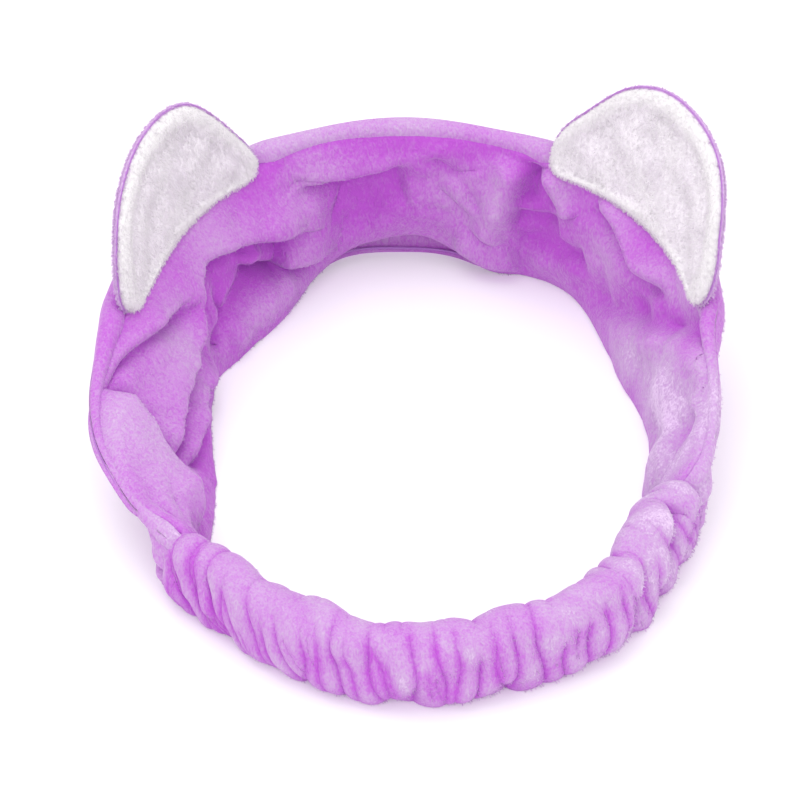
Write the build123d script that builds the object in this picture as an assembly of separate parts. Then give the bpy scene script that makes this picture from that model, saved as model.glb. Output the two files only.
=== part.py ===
"""A plush spa headband with two rounded cat-style ears, in millimetres.

The headband is a closed loop that stands on its lower edge.  +Z is up the loop's own axis, +Y points to the
wide part of the band and -Y to the gathered elastic at the back.  The origin is the middle of the loop on the
surface that it stands on.

The wide band is two layers of fleece sewn together along both long edges.  Its ends are sewn to a narrow
gathered fleece sleeve, and a flat elastic strap runs inside that sleeve and is tacked down at both ends.  Each ear is a front panel, a pad and a back panel, sewn round the curved edge and caught in the
band's top seam, so that it stands on the rim and folds in or out over its own root.

Places round the loop are bearings in degrees, 0 at the front (+Y) and 90 at +X.
"""

from build123d import *
from math import asin, ceil, cos, degrees, hypot, radians, sin
import os

# The loop in plan: its lower edge is a rounded oval, and the band's upper rim stands on a circle outside it.
BASE_HALF_WIDTH = 68.0
BASE_FRONT = 84.0
BASE_BACK = 85.1
BASE_FULLNESS = 2.6  # 2 would be a plain ellipse
RIM_RADIUS = 88.0
LEAN_FADE = (84.0, 120.0)  # the rim comes back over the lower edge between these bearings

# Heights of the upper rim above the surface.
FRONT_HEIGHT = 54.5
EAR_RIM_HEIGHT = 50.0
SLEEVE_HEIGHT = 26.0
FRONT_FADE = (6.0, 27.0)
SIDE_FADE = (74.0, 122.0)

# The band and the sleeve meet at SEAM_BEARING with room for the thread that joins them.
SEAM_BEARING = 120.0
HALF_SEAM = 0.5
STRAP_END = 119.2

# Fabric and thread.
FLEECE = 1.8
LAYER_GAP = 0.1  # half the gap between the two sewn layers at a seam
BAND_BULGE = 4.6  # half the loft between the outsides of the band's two layers
THREAD = 0.45
THREAD_GAP = 0.3
FLATTENED = 0.5  # how far the soft lower edge is pressed flat by its own weight

# The gathered sleeve.
GATHERS = 12
SLEEVE_CREST = 6.0  # half the sleeve's thickness at the top of a gather
SLEEVE_VALLEY = 4.4
SLEEVE_RUFFLE = 1.2  # how much lower the upper edge is between two gathers
SLEEVE_EDGE = 1.6  # half the sleeve's thickness where its long edges start to round over

# The elastic strap.
STRAP_WIDTH = 18.0
STRAP_THICK = 1.2
TACK_WIDTH = 2.4
TACK_THICK = 0.5

# The ears.
EAR_BEARING = 51.5
EAR_HALF_BASE = 36.0
EAR_TIP = 34.0  # above the fold line
EAR_LEAN = 22.0  # degrees outwards when the headband is at rest
EAR_FRONT = 1.5
EAR_PAD = 2.8
EAR_BACK = 1.5
ROOT_RADIUS = 8.0  # the root is rounded about the fold line, so that it turns clear of the rim
FOLD_HEIGHT = EAR_RIM_HEIGHT + 2 * THREAD + 0.6 + ROOT_RADIUS
EAR_HALF_ANGLE = degrees(asin(EAR_HALF_BASE / RIM_RADIUS))

UP = Vector(0, 0, 1)
STATION_STEP = 10.0


def ease(start, stop, value):
    """0 before start, 1 after stop and a smooth rise between them."""
    share = min(1.0, max(0.0, (value - start) / (stop - start)))
    return share * share * (3 - 2 * share)


def outward(bearing):
    """The level direction out of the loop at a bearing."""
    return Vector(sin(radians(bearing)), cos(radians(bearing)), 0)


def base_radius(bearing):
    """How far the lower edge lies from the loop's axis."""
    way = outward(bearing)
    half_depth = BASE_FRONT if way.Y > 0 else BASE_BACK
    across = abs(way.X / BASE_HALF_WIDTH) ** BASE_FULLNESS
    along = abs(way.Y / half_depth) ** BASE_FULLNESS
    return (across + along) ** (-1 / BASE_FULLNESS)


def turn_from_front(bearing):
    """The bearing's angle from the front whichever way round it is given."""
    turn = abs(bearing) % 360
    return min(turn, 360 - turn)


def rim_height(bearing):
    """How high the upper rim stands."""
    turn = turn_from_front(bearing)
    front = (FRONT_HEIGHT - EAR_RIM_HEIGHT) * (1 - ease(*FRONT_FADE, turn))
    side = (EAR_RIM_HEIGHT - SLEEVE_HEIGHT) * (1 - ease(*SIDE_FADE, turn))
    return SLEEVE_HEIGHT + side + front


def rim_lean(bearing):
    """How far the upper rim stands outside the lower edge."""
    return (RIM_RADIUS - base_radius(bearing)) * (1 - ease(*LEAN_FADE, turn_from_front(bearing)))


def stations(first, last):
    """Evenly spaced bearings from first to last, no more than STATION_STEP apart."""
    steps = ceil(abs(last - first) / STATION_STEP)
    return [first + (last - first) * i / steps for i in range(steps + 1)]


class Section:
    """The loop's upright cut at one bearing, with points measured up the fabric and out of the loop."""

    def __init__(self, bearing, edge=0.0):
        lean, height = rim_lean(bearing), rim_height(bearing)
        drop = edge * lean / height + FLATTENED
        self.width = hypot(lean, height + drop)
        self.foot = outward(bearing) * base_radius(bearing) - UP * drop
        self.up_fabric = (outward(bearing) * lean + UP * (height + drop)) / self.width
        self.out_of_loop = (outward(bearing) * (height + drop) - UP * lean) / self.width

    def at(self, along, across=0.0):
        return self.foot + self.up_fabric * along + self.out_of_loop * across


def pressed_flat(shape):
    """Takes off what would lie below the surface that the headband stands on."""
    size = 4 * RIM_RADIUS
    return shape - Pos(0, 0, -size / 2) * Box(size, size, size)


def thread_along(points):
    """A round thread laid through points."""
    path = Spline(*points)
    start = Plane(origin=path @ 0, z_dir=path % 0)
    return sweep(start * Circle(THREAD), path=path)


def band_layer_section(bearing, side):
    """One layer of the band's lens-shaped cut: side 1 is the outer layer and -1 the lining."""
    edge = LAYER_GAP + FLEECE
    cut = Section(bearing, edge)
    top, middle = cut.width, cut.width / 2
    skin = ThreePointArc(cut.at(0, side * edge), cut.at(middle, side * BAND_BULGE), cut.at(top, side * edge))
    rim = Line(cut.at(top, side * edge), cut.at(top, side * LAYER_GAP))
    hollow = side * (BAND_BULGE - FLEECE)
    inside = ThreePointArc(cut.at(top, side * LAYER_GAP), cut.at(middle, hollow), cut.at(0, side * LAYER_GAP))
    foot = Line(cut.at(0, side * LAYER_GAP), cut.at(0, side * edge))
    return Face(Wire([skin, rim, inside, foot]))


def band_layer(side):
    """The outer layer or the lining of the wide band."""
    end = SEAM_BEARING - HALF_SEAM
    return pressed_flat(loft([band_layer_section(bearing, side) for bearing in stations(-end, end)]))


def rim_thread(first, last):
    """A run of the top seam from one bearing to another."""
    points = []
    for bearing in stations(first, last):
        cut = Section(bearing, LAYER_GAP + FLEECE)
        points.append(cut.at(cut.width + THREAD + THREAD_GAP))
    return thread_along(points)


def band_top_seam():
    """The top seam's three runs: between the ears and from each ear to the sleeve."""
    near, far = EAR_BEARING - EAR_HALF_ANGLE, EAR_BEARING + EAR_HALF_ANGLE
    margin, end = 0.8, SEAM_BEARING - 2.0
    runs = [(-end, -far - margin), (-near + margin, near - margin), (far + margin, end)]
    return Compound(children=[rim_thread(*run) for run in runs])


def band_bottom_seam():
    """The seam that closes the lower edge; it runs inside, along the fold of the two layers."""
    inset = 4.6
    end = SEAM_BEARING - 2.0
    return thread_along([Section(bearing, LAYER_GAP + FLEECE).at(inset) for bearing in stations(-end, end)])


def end_seam(side):
    """The ring of thread between one end of the band and the sleeve sewn on to it."""
    cut = Section(side * SEAM_BEARING)
    middle, half = cut.width / 2, cut.width / 2 - FLEECE
    deep = BAND_BULGE - FLEECE / 2
    points = [cut.at(middle + half), cut.at(middle, deep), cut.at(middle - half), cut.at(middle, -deep)]
    ring = Spline(*points, periodic=True)
    start = Plane(origin=ring @ 0, z_dir=ring % 0)
    return pressed_flat(sweep(start * Circle(THREAD), path=ring))


def gather_stations():
    """The sleeve's bearings with how far each is up a gather: 0 in a valley and 1 on a crest."""
    first, last = SEAM_BEARING + HALF_SEAM, 360 - SEAM_BEARING - HALF_SEAM
    steps = 2 * GATHERS
    return [(first + (last - first) * i / steps, i % 2) for i in range(steps + 1)]


def sleeve_section(bearing, crest, inset):
    """The sleeve's flat oval cut, drawn in by inset on every side."""
    cut = Section(bearing)
    low, high = inset, cut.width - SLEEVE_RUFFLE * (1 - crest) - inset
    middle = (low + high) / 2
    reach = SLEEVE_VALLEY + (SLEEVE_CREST - SLEEVE_VALLEY) * crest - inset
    edge = SLEEVE_EDGE * reach / SLEEVE_CREST
    low_out, low_in = cut.at(low + edge, edge), cut.at(low + edge, -edge)
    high_out, high_in = cut.at(high - edge, edge), cut.at(high - edge, -edge)
    outer_side = ThreePointArc(low_out, cut.at(middle, reach), high_out)
    upper_edge = ThreePointArc(high_out, cut.at(high), high_in)
    inner_side = ThreePointArc(high_in, cut.at(middle, -reach), low_in)
    lower_edge = ThreePointArc(low_in, cut.at(low), low_out)
    return Face(Wire([outer_side, upper_edge, inner_side, lower_edge]))


def sleeve_cover():
    """The gathered fleece tube over the elastic, open at both ends."""
    outside = loft([sleeve_section(*station, 0) for station in gather_stations()], ruled=True)
    hollow = loft([sleeve_section(*station, FLEECE) for station in gather_stations()], ruled=True)
    return pressed_flat(outside - hollow)


def sleeve_seam():
    """The sleeve's own long seam, inside its lower edge."""
    inset = FLATTENED + FLEECE + THREAD + THREAD_GAP + 0.8
    end = SEAM_BEARING + 2.0
    return thread_along([Section(bearing).at(inset) for bearing in stations(end, 360 - end)])


def plan_curve(first, last, offset):
    """The lower edge's plan curve, moved out of the loop by offset."""
    return Spline(*[outward(bearing) * (base_radius(bearing) + offset) for bearing in stations(first, last)])


def strip(first, last, near, far, half_width):
    """An upright strip that follows the loop between two offsets, half_width each way from mid-height."""
    inside, outside = plan_curve(first, last, near), plan_curve(first, last, far)
    ends = [Line(inside @ 1, outside @ 1), Line(inside @ 0, outside @ 0)]
    face = Face(Wire([inside, ends[0], outside, ends[1]]))
    low = SLEEVE_HEIGHT / 2 - half_width
    return Pos(0, 0, low) * extrude(face, amount=2 * half_width, dir=UP)


def elastic_strap():
    """The flat woven elastic inside the sleeve."""
    half = STRAP_THICK / 2
    return strip(STRAP_END, 360 - STRAP_END, -half, half, STRAP_WIDTH / 2)


def elastic_tack(side):
    """The bar of dense stitches over one end of the strap, on both of its faces."""
    first = side * (SEAM_BEARING + HALF_SEAM + 1.0)
    last = first + side * degrees(TACK_WIDTH / base_radius(first))
    near = STRAP_THICK / 2 + 0.05
    far = near + TACK_THICK
    half = STRAP_WIDTH / 2 - 1.5
    return Compound(children=[strip(first, last, a, b, half) for a, b in ((near, far), (-far, -near))])


def ear_plane():
    """The right ear's upright plane through its fold line: local X runs along the fold, local Y is up."""
    out_of_loop = outward(EAR_BEARING)
    radius = RIM_RADIUS * (1 + cos(radians(EAR_HALF_ANGLE))) / 2
    along = out_of_loop.cross(UP)
    return Plane(origin=out_of_loop * radius + UP * FOLD_HEIGHT, x_dir=along, z_dir=out_of_loop * -1)


def leant_out(shape):
    """Turns part of the right ear about its fold line to the lean that it rests at."""
    plane = ear_plane()
    return shape.rotate(Axis(plane.origin, plane.x_dir), -EAR_LEAN)


def ear_arch(grow=0.0):
    """The ear's curved edge, corner to corner, grown outwards by grow."""
    return EllipticalCenterArc((0, 0), EAR_HALF_BASE + grow, EAR_TIP + grow, start_angle=0, arc_size=180)


def ear_cutter():
    """A prism through the ear's outline that reaches down past its root."""
    corner, root = EAR_HALF_BASE, -ROOT_RADIUS
    foot = Polyline((-corner, 0), (-corner + 1, root), (corner - 1, root), (corner, 0))
    outline = Face(Wire([ear_arch(), *foot.edges()]))
    depth = 40.0
    return ear_plane() * extrude(Pos(0, 0, -depth / 2) * outline, amount=depth)


def root_trim():
    """What is cut away below the fold line so that the root is round about it."""
    size = 3 * EAR_HALF_BASE
    below = Pos(0, -size / 2, 0) * Box(size, size, size)
    barrel = Rot(0, 90, 0) * Cylinder(ROOT_RADIUS, size)
    return ear_plane() * (below - barrel)


def ear_layer(inner_radius, thickness):
    """One curved layer of the right ear."""
    height = 4 * EAR_TIP
    shell = Cylinder(inner_radius + thickness, height) - Cylinder(inner_radius, height)
    upright = (Pos(0, 0, FOLD_HEIGHT) * shell & ear_cutter()) - root_trim()
    return leant_out(upright)


def ear_edge_seam():
    """The thread that joins the ear's panels round the curved edge."""
    arch = ear_arch(THREAD + THREAD_GAP)
    points = []
    for i in range(25):
        flat = arch @ (0.01 + 0.98 * i / 24)
        bearing = EAR_BEARING + degrees(asin(flat.X / RIM_RADIUS))
        points.append(outward(bearing) * RIM_RADIUS + UP * (FOLD_HEIGHT + flat.Y))
    return leant_out(thread_along(points))


def ear_parts():
    """The right ear's pieces, its layers from the inside of the loop outwards."""
    gap = 0.05
    front = RIM_RADIUS - (EAR_FRONT + EAR_PAD + EAR_BACK) / 2
    pad = front + EAR_FRONT + gap
    back = pad + EAR_PAD + gap
    return {
        "front_panel": ear_layer(front, EAR_FRONT),
        "pad": ear_layer(pad, EAR_PAD),
        "back_panel": ear_layer(back, EAR_BACK),
        "edge_seam": ear_edge_seam(),
        "base_seam": rim_thread(EAR_BEARING - EAR_HALF_ANGLE, EAR_BEARING + EAR_HALF_ANGLE),
    }


def parts():
    """Every node of the headband by name."""
    found = {
        "band_outer_panel": band_layer(1),
        "band_lining_panel": band_layer(-1),
        "band_top_seam": band_top_seam(),
        "band_bottom_seam": band_bottom_seam(),
        "elastic_sleeve": sleeve_cover(),
        "sleeve_seam": sleeve_seam(),
        "elastic_strap": elastic_strap(),
        "right_end_seam": end_seam(1),
        "left_end_seam": end_seam(-1),
        "right_elastic_tack": elastic_tack(1),
        "left_elastic_tack": elastic_tack(-1),
    }
    for name, shape in ear_parts().items():
        found[f"right_ear_{name}"] = shape
        found[f"left_ear_{name}"] = mirror(shape, about=Plane.YZ)
    return found


os.makedirs("parts", exist_ok=True)
for node, shape in parts().items():
    export_step(shape, f"parts/{node}.step")
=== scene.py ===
"""The looks of a plush spa headband with two rounded ears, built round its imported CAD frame.

The loop stands on its lower edge, the wide band at +Y and the gathered elastic sleeve at -Y.  Places round it
are bearings in degrees, 0 at the front (+Y) and 90 at +X.  Heights up the fabric are shares, 0 at its lower
edge and 1 at its upper edge.  Lengths are millimetres until a mesh is made.
"""

import math

import bmesh
import bpy
import numpy as np
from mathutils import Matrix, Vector


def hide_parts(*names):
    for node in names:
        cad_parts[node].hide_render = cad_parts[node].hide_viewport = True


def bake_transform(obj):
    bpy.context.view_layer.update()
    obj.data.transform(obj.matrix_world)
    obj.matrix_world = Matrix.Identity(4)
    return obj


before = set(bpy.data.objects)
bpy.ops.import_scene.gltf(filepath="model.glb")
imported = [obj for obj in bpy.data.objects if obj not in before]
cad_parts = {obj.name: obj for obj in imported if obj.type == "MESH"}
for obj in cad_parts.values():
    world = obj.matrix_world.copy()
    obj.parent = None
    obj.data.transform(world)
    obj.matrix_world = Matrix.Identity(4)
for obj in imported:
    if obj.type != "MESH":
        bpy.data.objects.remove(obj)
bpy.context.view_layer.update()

MM = 0.001

# Where the band ends and the sleeve starts; the soft loop lies a little turned, so the two sides differ.
RIGHT_END = 110.0
LEFT_END = -127.0
OVERLAP = 3.0  # how far the sleeve's ends reach over the band's, in degrees
EAR_NEAR, EAR_FAR = 31.0, 75.0  # where each ear's root starts and ends

FLEECE = 1.3  # thickness of one layer of fabric
REST_GAP = 0.8  # from the surface below to the middle of the fabric that rests on it
RIM_ROLL = 3.0  # radius of the roll along the band's upper edge
THREAD_RADIUS = 0.4
FINE_THREAD_RADIUS = 0.35

# Bearing: radius of the lining's lower edge, which sags inwards at the sides.
LOWER_EDGE = [
    (-127, 71), (-118, 64), (-108, 58), (-100, 55.5), (-92, 54), (-84, 55), (-76, 57.5), (-69, 60),
    (-62, 63), (-55, 66), (-47, 66), (-38, 67.5), (-30, 71), (-25, 75), (-20, 80), (-14, 84), (0, 84.5),
    (8, 84), (16, 82), (24, 85), (32, 85), (40, 81), (46, 77), (52, 73.5), (58, 71), (66, 70), (78, 70),
    (86, 68.5), (96, 67), (104, 67), (110, 70),
]
# Bearing: how far the lining's lower edge has lifted off the floor.
LOWER_LIFT = [
    (-127, 0), (-26, 0), (-18, 1.5), (-8, 7), (3, 9.5), (10, 5), (18, 0.5), (24, 0), (110, 0),
]
# Bearing: radius and height of the seam line just inside the rim.
UPPER_EDGE = [
    (-127, 82, 25), (-118, 84, 28), (-110, 86.5, 31.5), (-100, 89, 35.5), (-92, 88.3, 39),
    (-84, 85.5, 42.5), (-76, 82.5, 46), (-66, 82, 48), (-54, 83.5, 48.5), (-42, 85.5, 48.5),
    (-30, 86.7, 48.3), (-22, 87.2, 49.5), (-15, 87.3, 50), (0, 87, 49.8), (15, 87, 49.6), (22, 87, 49.4),
    (30, 86.5, 48.5), (40, 87, 49), (52, 87, 49.5), (64, 87, 49.5), (74, 86, 49), (82, 85.5, 45.5),
    (90, 86.5, 40.5), (98, 87, 35.5), (104, 87.5, 31), (110, 87, 26),
]
# Bearing: how much of the rim is rolled; at the sides the lining runs out over it.
RIM_SHARE = [
    (-127, 0.1), (-94, 0.1), (-86, 0.3), (-76, 0.9), (-60, 1), (-31, 1), (-22, 0.55), (0, 0.55),
    (22, 0.55), (31, 1), (60, 1), (72, 0.8), (80, 0.3), (88, 0.1), (110, 0.1),
]
# Bearing: radius of the sleeve's middle.
SLEEVE_MIDDLE = [
    (106, 82.5), (112, 80.3), (117, 78.3), (123, 79), (129, 81), (135, 83.2), (141, 84.6), (150, 84.3),
    (160, 83.8), (170, 84), (180, 84), (190, 83), (201, 80.8), (210, 78.8), (217, 77.5), (225, 77.5),
    (236, 79),
]
SLEEVE_HALF_HEIGHT = 12.0
SLEEVE_HALF_DEPTH = 6.0
SLEEVE_MIDDLE_HEIGHT = SLEEVE_HALF_HEIGHT + REST_GAP


def keyed(pairs):
    """A smooth curve through (place, value) pairs."""
    at, value = np.array(pairs, float).T
    slope = np.gradient(value, at)

    def curve(x):
        x = np.clip(np.asarray(x, float), at[0], at[-1])
        i = np.clip(np.searchsorted(at, x) - 1, 0, len(at) - 2)
        step = at[i + 1] - at[i]
        t = (x - at[i]) / step
        blend = t * t * (3 - 2 * t)
        ease_out = t * (1 - t) ** 2
        ease_in = t * t * (1 - t)
        bend = step * (slope[i] * ease_out - slope[i + 1] * ease_in)
        return value[i] * (1 - blend) + value[i + 1] * blend + bend

    return curve


lower_radius = keyed(LOWER_EDGE)
lower_lift = keyed(LOWER_LIFT)
upper_radius = keyed([(b, r) for b, r, _ in UPPER_EDGE])
upper_height = keyed([(b, z) for b, _, z in UPPER_EDGE])
rim_share = keyed(RIM_SHARE)
sleeve_radius = keyed(SLEEVE_MIDDLE)


def ease(start, stop, x):
    """0 before start, 1 after stop and a smooth rise between."""
    t = np.clip((x - start) / (stop - start), 0, 1)
    return t * t * (3 - 2 * t)


WAVE_COUNT = 14


def ripples(x, y, wavelength, seed, stretch=1.0):
    """Gentle random waves with a spread of about 1; stretch draws them out along x."""
    waves = np.random.default_rng(seed)
    total = np.zeros_like(x, float)
    for _ in range(WAVE_COUNT):
        turn = waves.uniform(0, 2 * math.pi)
        rate = 2 * math.pi / (wavelength * waves.uniform(0.7, 1.4))
        phase = waves.uniform(0, 2 * math.pi)
        total += np.sin(rate * (x * math.cos(turn) / stretch + y * math.sin(turn)) + phase)
    return total / math.sqrt(WAVE_COUNT / 2)


# ---- folds


def smooth_path(points, count=60):
    """A rounded line through points."""
    points = np.array(points, float)
    share = np.linspace(0, 1, len(points))
    at = np.linspace(0, 1, count)
    return np.stack([keyed(list(zip(share, points[:, k])))(at) for k in (0, 1)], axis=1)


def from_path(x, y, path):
    """Each point's distance from path, positive on its right, and how far along path its nearest place is."""
    best = np.full(x.shape, 1e9)
    side = np.zeros_like(best)
    along = np.zeros_like(best)
    for i in range(len(path) - 1):
        start, step = path[i], path[i + 1] - path[i]
        t = np.clip(((x - start[0]) * step[0] + (y - start[1]) * step[1]) / (step @ step), 0, 1)
        dx, dy = x - start[0] - t * step[0], y - start[1] - t * step[1]
        gap = np.hypot(dx, dy)
        closer = gap < best
        best = np.where(closer, gap, best)
        side = np.where(closer, np.sign(dx * step[1] - dy * step[0]), side)
        along = np.where(closer, (i + t) / (len(path) - 1), along)
    return best * side, along


def fold(x, y, path, height, soft=8.0, sharp=2.5, hollow=0.0, slump=0.0, fade=(0.15, 0.15)):
    """A soft roll of fabric along path: gentle on its left, steep on its right with a hollow under it.

    Returns how far it pushes the fabric out of its own surface, and how far it drags it to the right of path.
    """
    gap, along = from_path(x, y, smooth_path(path))
    taper = ease(0, fade[0], along) * (1 - ease(1 - fade[1], 1, along))
    width = np.where(gap < 0, soft, sharp)
    crest = np.exp(-((gap / width) ** 2))
    pit_middle, pit_width = 1.9 * sharp, 1.3 * sharp
    pit = np.exp(-(((gap - pit_middle) / pit_width) ** 2)) * (gap > 0)
    return taper * (height * crest - hollow * pit), taper * slump * crest


# Each fold of the band's inner face: its path as (bearing, height up the fabric), then its shape.
FRONT_FOLDS = [
    # the long roll under the rim and the hollow beneath it
    dict(path=[(-27, 0.92), (-19, 0.84), (-11, 0.79), (-4, 0.8), (3, 0.87)], height=2.4, soft=6, sharp=2.8,
         hollow=3.4, slump=1.2, fade=(0.25, 0.45)),
    dict(path=[(-16, 0.58), (-8, 0.52), (1, 0.55)], height=-3, soft=9, sharp=11),
    # the lobe that hangs at the roll's left end
    dict(path=[(-57, 0.76), (-50, 0.8), (-44, 0.78), (-37, 0.72), (-30, 0.64), (-24, 0.57), (-20, 0.55)],
         height=5.5, soft=9, sharp=2.6, hollow=4, slump=1.6, fade=(0.25, 0.3)),
    dict(path=[(-24, 0.5), (-21.5, 0.64), (-22, 0.84)], height=3.2, soft=5.5, sharp=7),
    # the lower edge of the front, rolled under at the left
    dict(path=[(-42, 0.68), (-34, 0.5), (-28, 0.37), (-20, 0.24), (-12, 0.14)], height=3.6, soft=6, sharp=2.2,
         hollow=4, slump=1.5, fade=(0.2, 0.4)),
    # creases and ridges between the front and the right ear
    dict(path=[(3.5, 0.87), (8.5, 0.74), (12.5, 0.62), (15.5, 0.5)], height=-1.6, soft=3, sharp=2.2),
    dict(path=[(10, 0.5), (13, 0.62), (10, 0.75)], height=1.8, soft=9, sharp=9),
    dict(path=[(21.5, 0.95), (19.5, 0.66), (16.5, 0.25)], height=4, soft=4.5, sharp=5),
    dict(path=[(25.5, 1.0), (24.6, 0.83), (23.5, 0.62)], height=-4, soft=3.2, sharp=3.2, fade=(0.02, 0.2)),
    dict(path=[(20.5, 0.55), (26, 0.55), (33, 0.58)], height=-4, soft=4, sharp=5),
    dict(path=[(28, 0.98), (31, 0.86), (34, 0.72)], height=3.6, soft=3.6, sharp=2.5, hollow=2),
    dict(path=[(21, 0.34), (30, 0.38), (40, 0.44)], height=-3, soft=5, sharp=4),
    dict(path=[(9, 0.1), (16, 0.08), (23, 0.12)], height=3.5, soft=9, sharp=5),
]
LEFT_FOLDS = [
    # the hollow under the hanging lobe, with a ridge across it
    dict(path=[(-26, 0.36), (-34, 0.42), (-42, 0.45), (-52, 0.46)], height=-8, soft=8, sharp=8),
    dict(path=[(-33, 0.58), (-40, 0.5), (-50, 0.42)], height=5.5, soft=4, sharp=5),
    dict(path=[(-25, 0.22), (-36, 0.2), (-50, 0.18)], height=2.5, soft=5, sharp=5),
    dict(path=[(-47, 0.4), (-51.5, 0.3), (-54, 0.18)], height=-3.5, soft=2.6, sharp=2.6),
    # the fabric under the left ear, hanging over the panels below
    dict(path=[(-92, 0.99), (-84, 0.98), (-76, 0.9), (-67, 0.81), (-61, 0.77), (-57, 0.78)],
         height=4, soft=9, sharp=2.2, hollow=3, slump=1.5, fade=(0.1, 0.25)),
    # the broad smooth panel at the left and the two panels it lies over
    dict(path=[(-119, 0.3), (-113, 0.42), (-106, 0.52), (-99, 0.66), (-94.5, 0.82), (-91, 0.95)],
         height=7, soft=16, sharp=2.2, hollow=3.5, slump=2, fade=(0.2, 0.15)),
    dict(path=[(-101, 0.44), (-92, 0.48), (-84, 0.5), (-72, 0.52), (-63, 0.58), (-58, 0.68), (-54, 0.78),
               (-49, 0.8)], height=5, soft=8, sharp=2, hollow=4, slump=2, fade=(0.12, 0.15)),
    dict(path=[(-98, 0.36), (-91, 0.3), (-82, 0.27), (-73, 0.3), (-64, 0.24), (-56, 0.14)],
         height=3.5, soft=5, sharp=2.2, hollow=3, slump=1.5, fade=(0.15, 0.2)),
]
RIGHT_FOLDS = [
    # the wide valley below the right ear and the swell under it
    dict(path=[(40, 0.98), (45.5, 0.92), (51, 0.83), (57, 0.78), (66, 0.88)], height=4, soft=5, sharp=2.6,
         hollow=2.5),
    dict(path=[(38, 0.16), (47, 0.27), (58, 0.44), (68, 0.62), (78, 0.86), (84, 1.0)], height=-4.2, soft=8,
         sharp=3.4, fade=(0.2, 0.03)),
    dict(path=[(64, 0.4), (72, 0.58), (80, 0.82), (87, 0.98)], height=3.2, soft=3, sharp=10,
         fade=(0.3, 0.05)),
    dict(path=[(78.5, 0.8), (80, 0.52), (84, 0.24)], height=1.5, soft=7, sharp=6),
    dict(path=[(91, 0.78), (94.5, 0.64), (98, 0.46)], height=-2.6, soft=4, sharp=4),
    dict(path=[(88, 0.5), (94, 0.3), (103, 0.2)], height=1.6, soft=6, sharp=5),
    dict(path=[(97, 0.9), (102, 0.72), (106, 0.5)], height=1.4, soft=5, sharp=4),
]
LINING_FOLDS = FRONT_FOLDS + LEFT_FOLDS + RIGHT_FOLDS


# The band's fabric laid flat: the radius that its length is measured at, and its height.
FLAT_RADIUS = 80.0
FLAT_HEIGHT = 52.0


def unrolled(bearing, share):
    """Flat coordinates on the band's fabric, for measuring folds."""
    return np.radians(bearing) * FLAT_RADIUS, share * FLAT_HEIGHT


def folded(bearing, share, folds):
    """Total push and drag of a list of folds over the band's fabric; where rolls cross, the highest leads."""
    x, y = unrolled(bearing, share)
    raised = np.zeros_like(x)
    sunk = np.zeros_like(x)
    drag = np.zeros_like(x)
    for spec in folds:
        shape = dict(spec)
        path = [unrolled(b, s) for b, s in shape.pop("path")]
        out, down = fold(x, y, path, **shape)
        raised += np.maximum(out, 0) ** 3
        sunk += np.minimum(out, 0)
        drag = np.maximum(drag, down)
    return np.cbrt(raised) + sunk, drag


# ---- meshes


PILE_GROUP = "pile"
BACK_DEEPER = 0.1  # how much deeper in tone the back of the fabric is


def grid_faces(rows, columns, wrap_columns=False):
    """Quads over a grid of points numbered row by row."""
    row = np.arange(rows - 1)[:, None] * columns
    here = np.arange(columns if wrap_columns else columns - 1)[None, :]
    ahead = (here + 1) % columns
    corners = [row + here, row + ahead, row + columns + ahead, row + columns + here]
    return np.stack(corners, axis=-1).reshape(-1, 4)


def both_sides(rows, columns, wrap_columns=False):
    """Quads over the shown side of a layer, and over its back, whose points are numbered after them."""
    shown = grid_faces(rows, columns, wrap_columns)
    return [shown, shown[:, ::-1] + rows * columns]


def hem_faces(edge, count):
    """Quads that join an edge of the shown side to the same edge of the back, numbered count further on."""
    after = np.roll(edge, -1)
    return np.stack([after, edge, edge + count, after + count], axis=1)


def grid_normals(points, wrap_columns=False):
    """Unit normals of a grid of points."""
    along = np.gradient(points, axis=0)
    if wrap_columns:
        across = np.roll(points, -1, axis=1) - np.roll(points, 1, axis=1)
    else:
        across = np.gradient(points, axis=1)
    normal = np.cross(along, across)
    return normal / np.maximum(np.linalg.norm(normal, axis=-1, keepdims=True), 1e-9)


def new_mesh(name, points, faces, material, smooth=True):
    """A mesh object from points in mm."""
    mesh = bpy.data.meshes.new(name)
    faces = faces.tolist() if isinstance(faces, np.ndarray) else faces
    mesh.from_pydata((np.asarray(points, float).reshape(-1, 3) * MM).tolist(), [], faces)
    mesh.polygons.foreach_set("use_smooth", [smooth] * len(mesh.polygons))
    mesh.materials.append(material)
    mesh.update()
    made = bpy.data.objects.new(name, mesh)
    bpy.context.scene.collection.objects.link(made)
    return made


def set_tone(piece, tone):
    """Stores each point's tone, 0 deep to 1 pale, where the materials of the fabric and its pile read it; on
    the band, the sleeve and the ears' fronts it holds painted light and shade.
    """
    corner = np.zeros(len(piece.data.loops), int)
    piece.data.loops.foreach_get("vertex_index", corner)
    value = np.clip(tone, 0, 1)[corner]
    store = piece.data.color_attributes.new("tone", "BYTE_COLOR", "CORNER")
    store.data.foreach_set("color", np.stack([value, value, value, np.ones_like(value)], axis=1).ravel())


def pile_on(piece, points):
    """Marks the points whose side of the fabric has pile."""
    piece.vertex_groups.new(name=PILE_GROUP).add(list(points), 1.0, "REPLACE")


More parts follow.
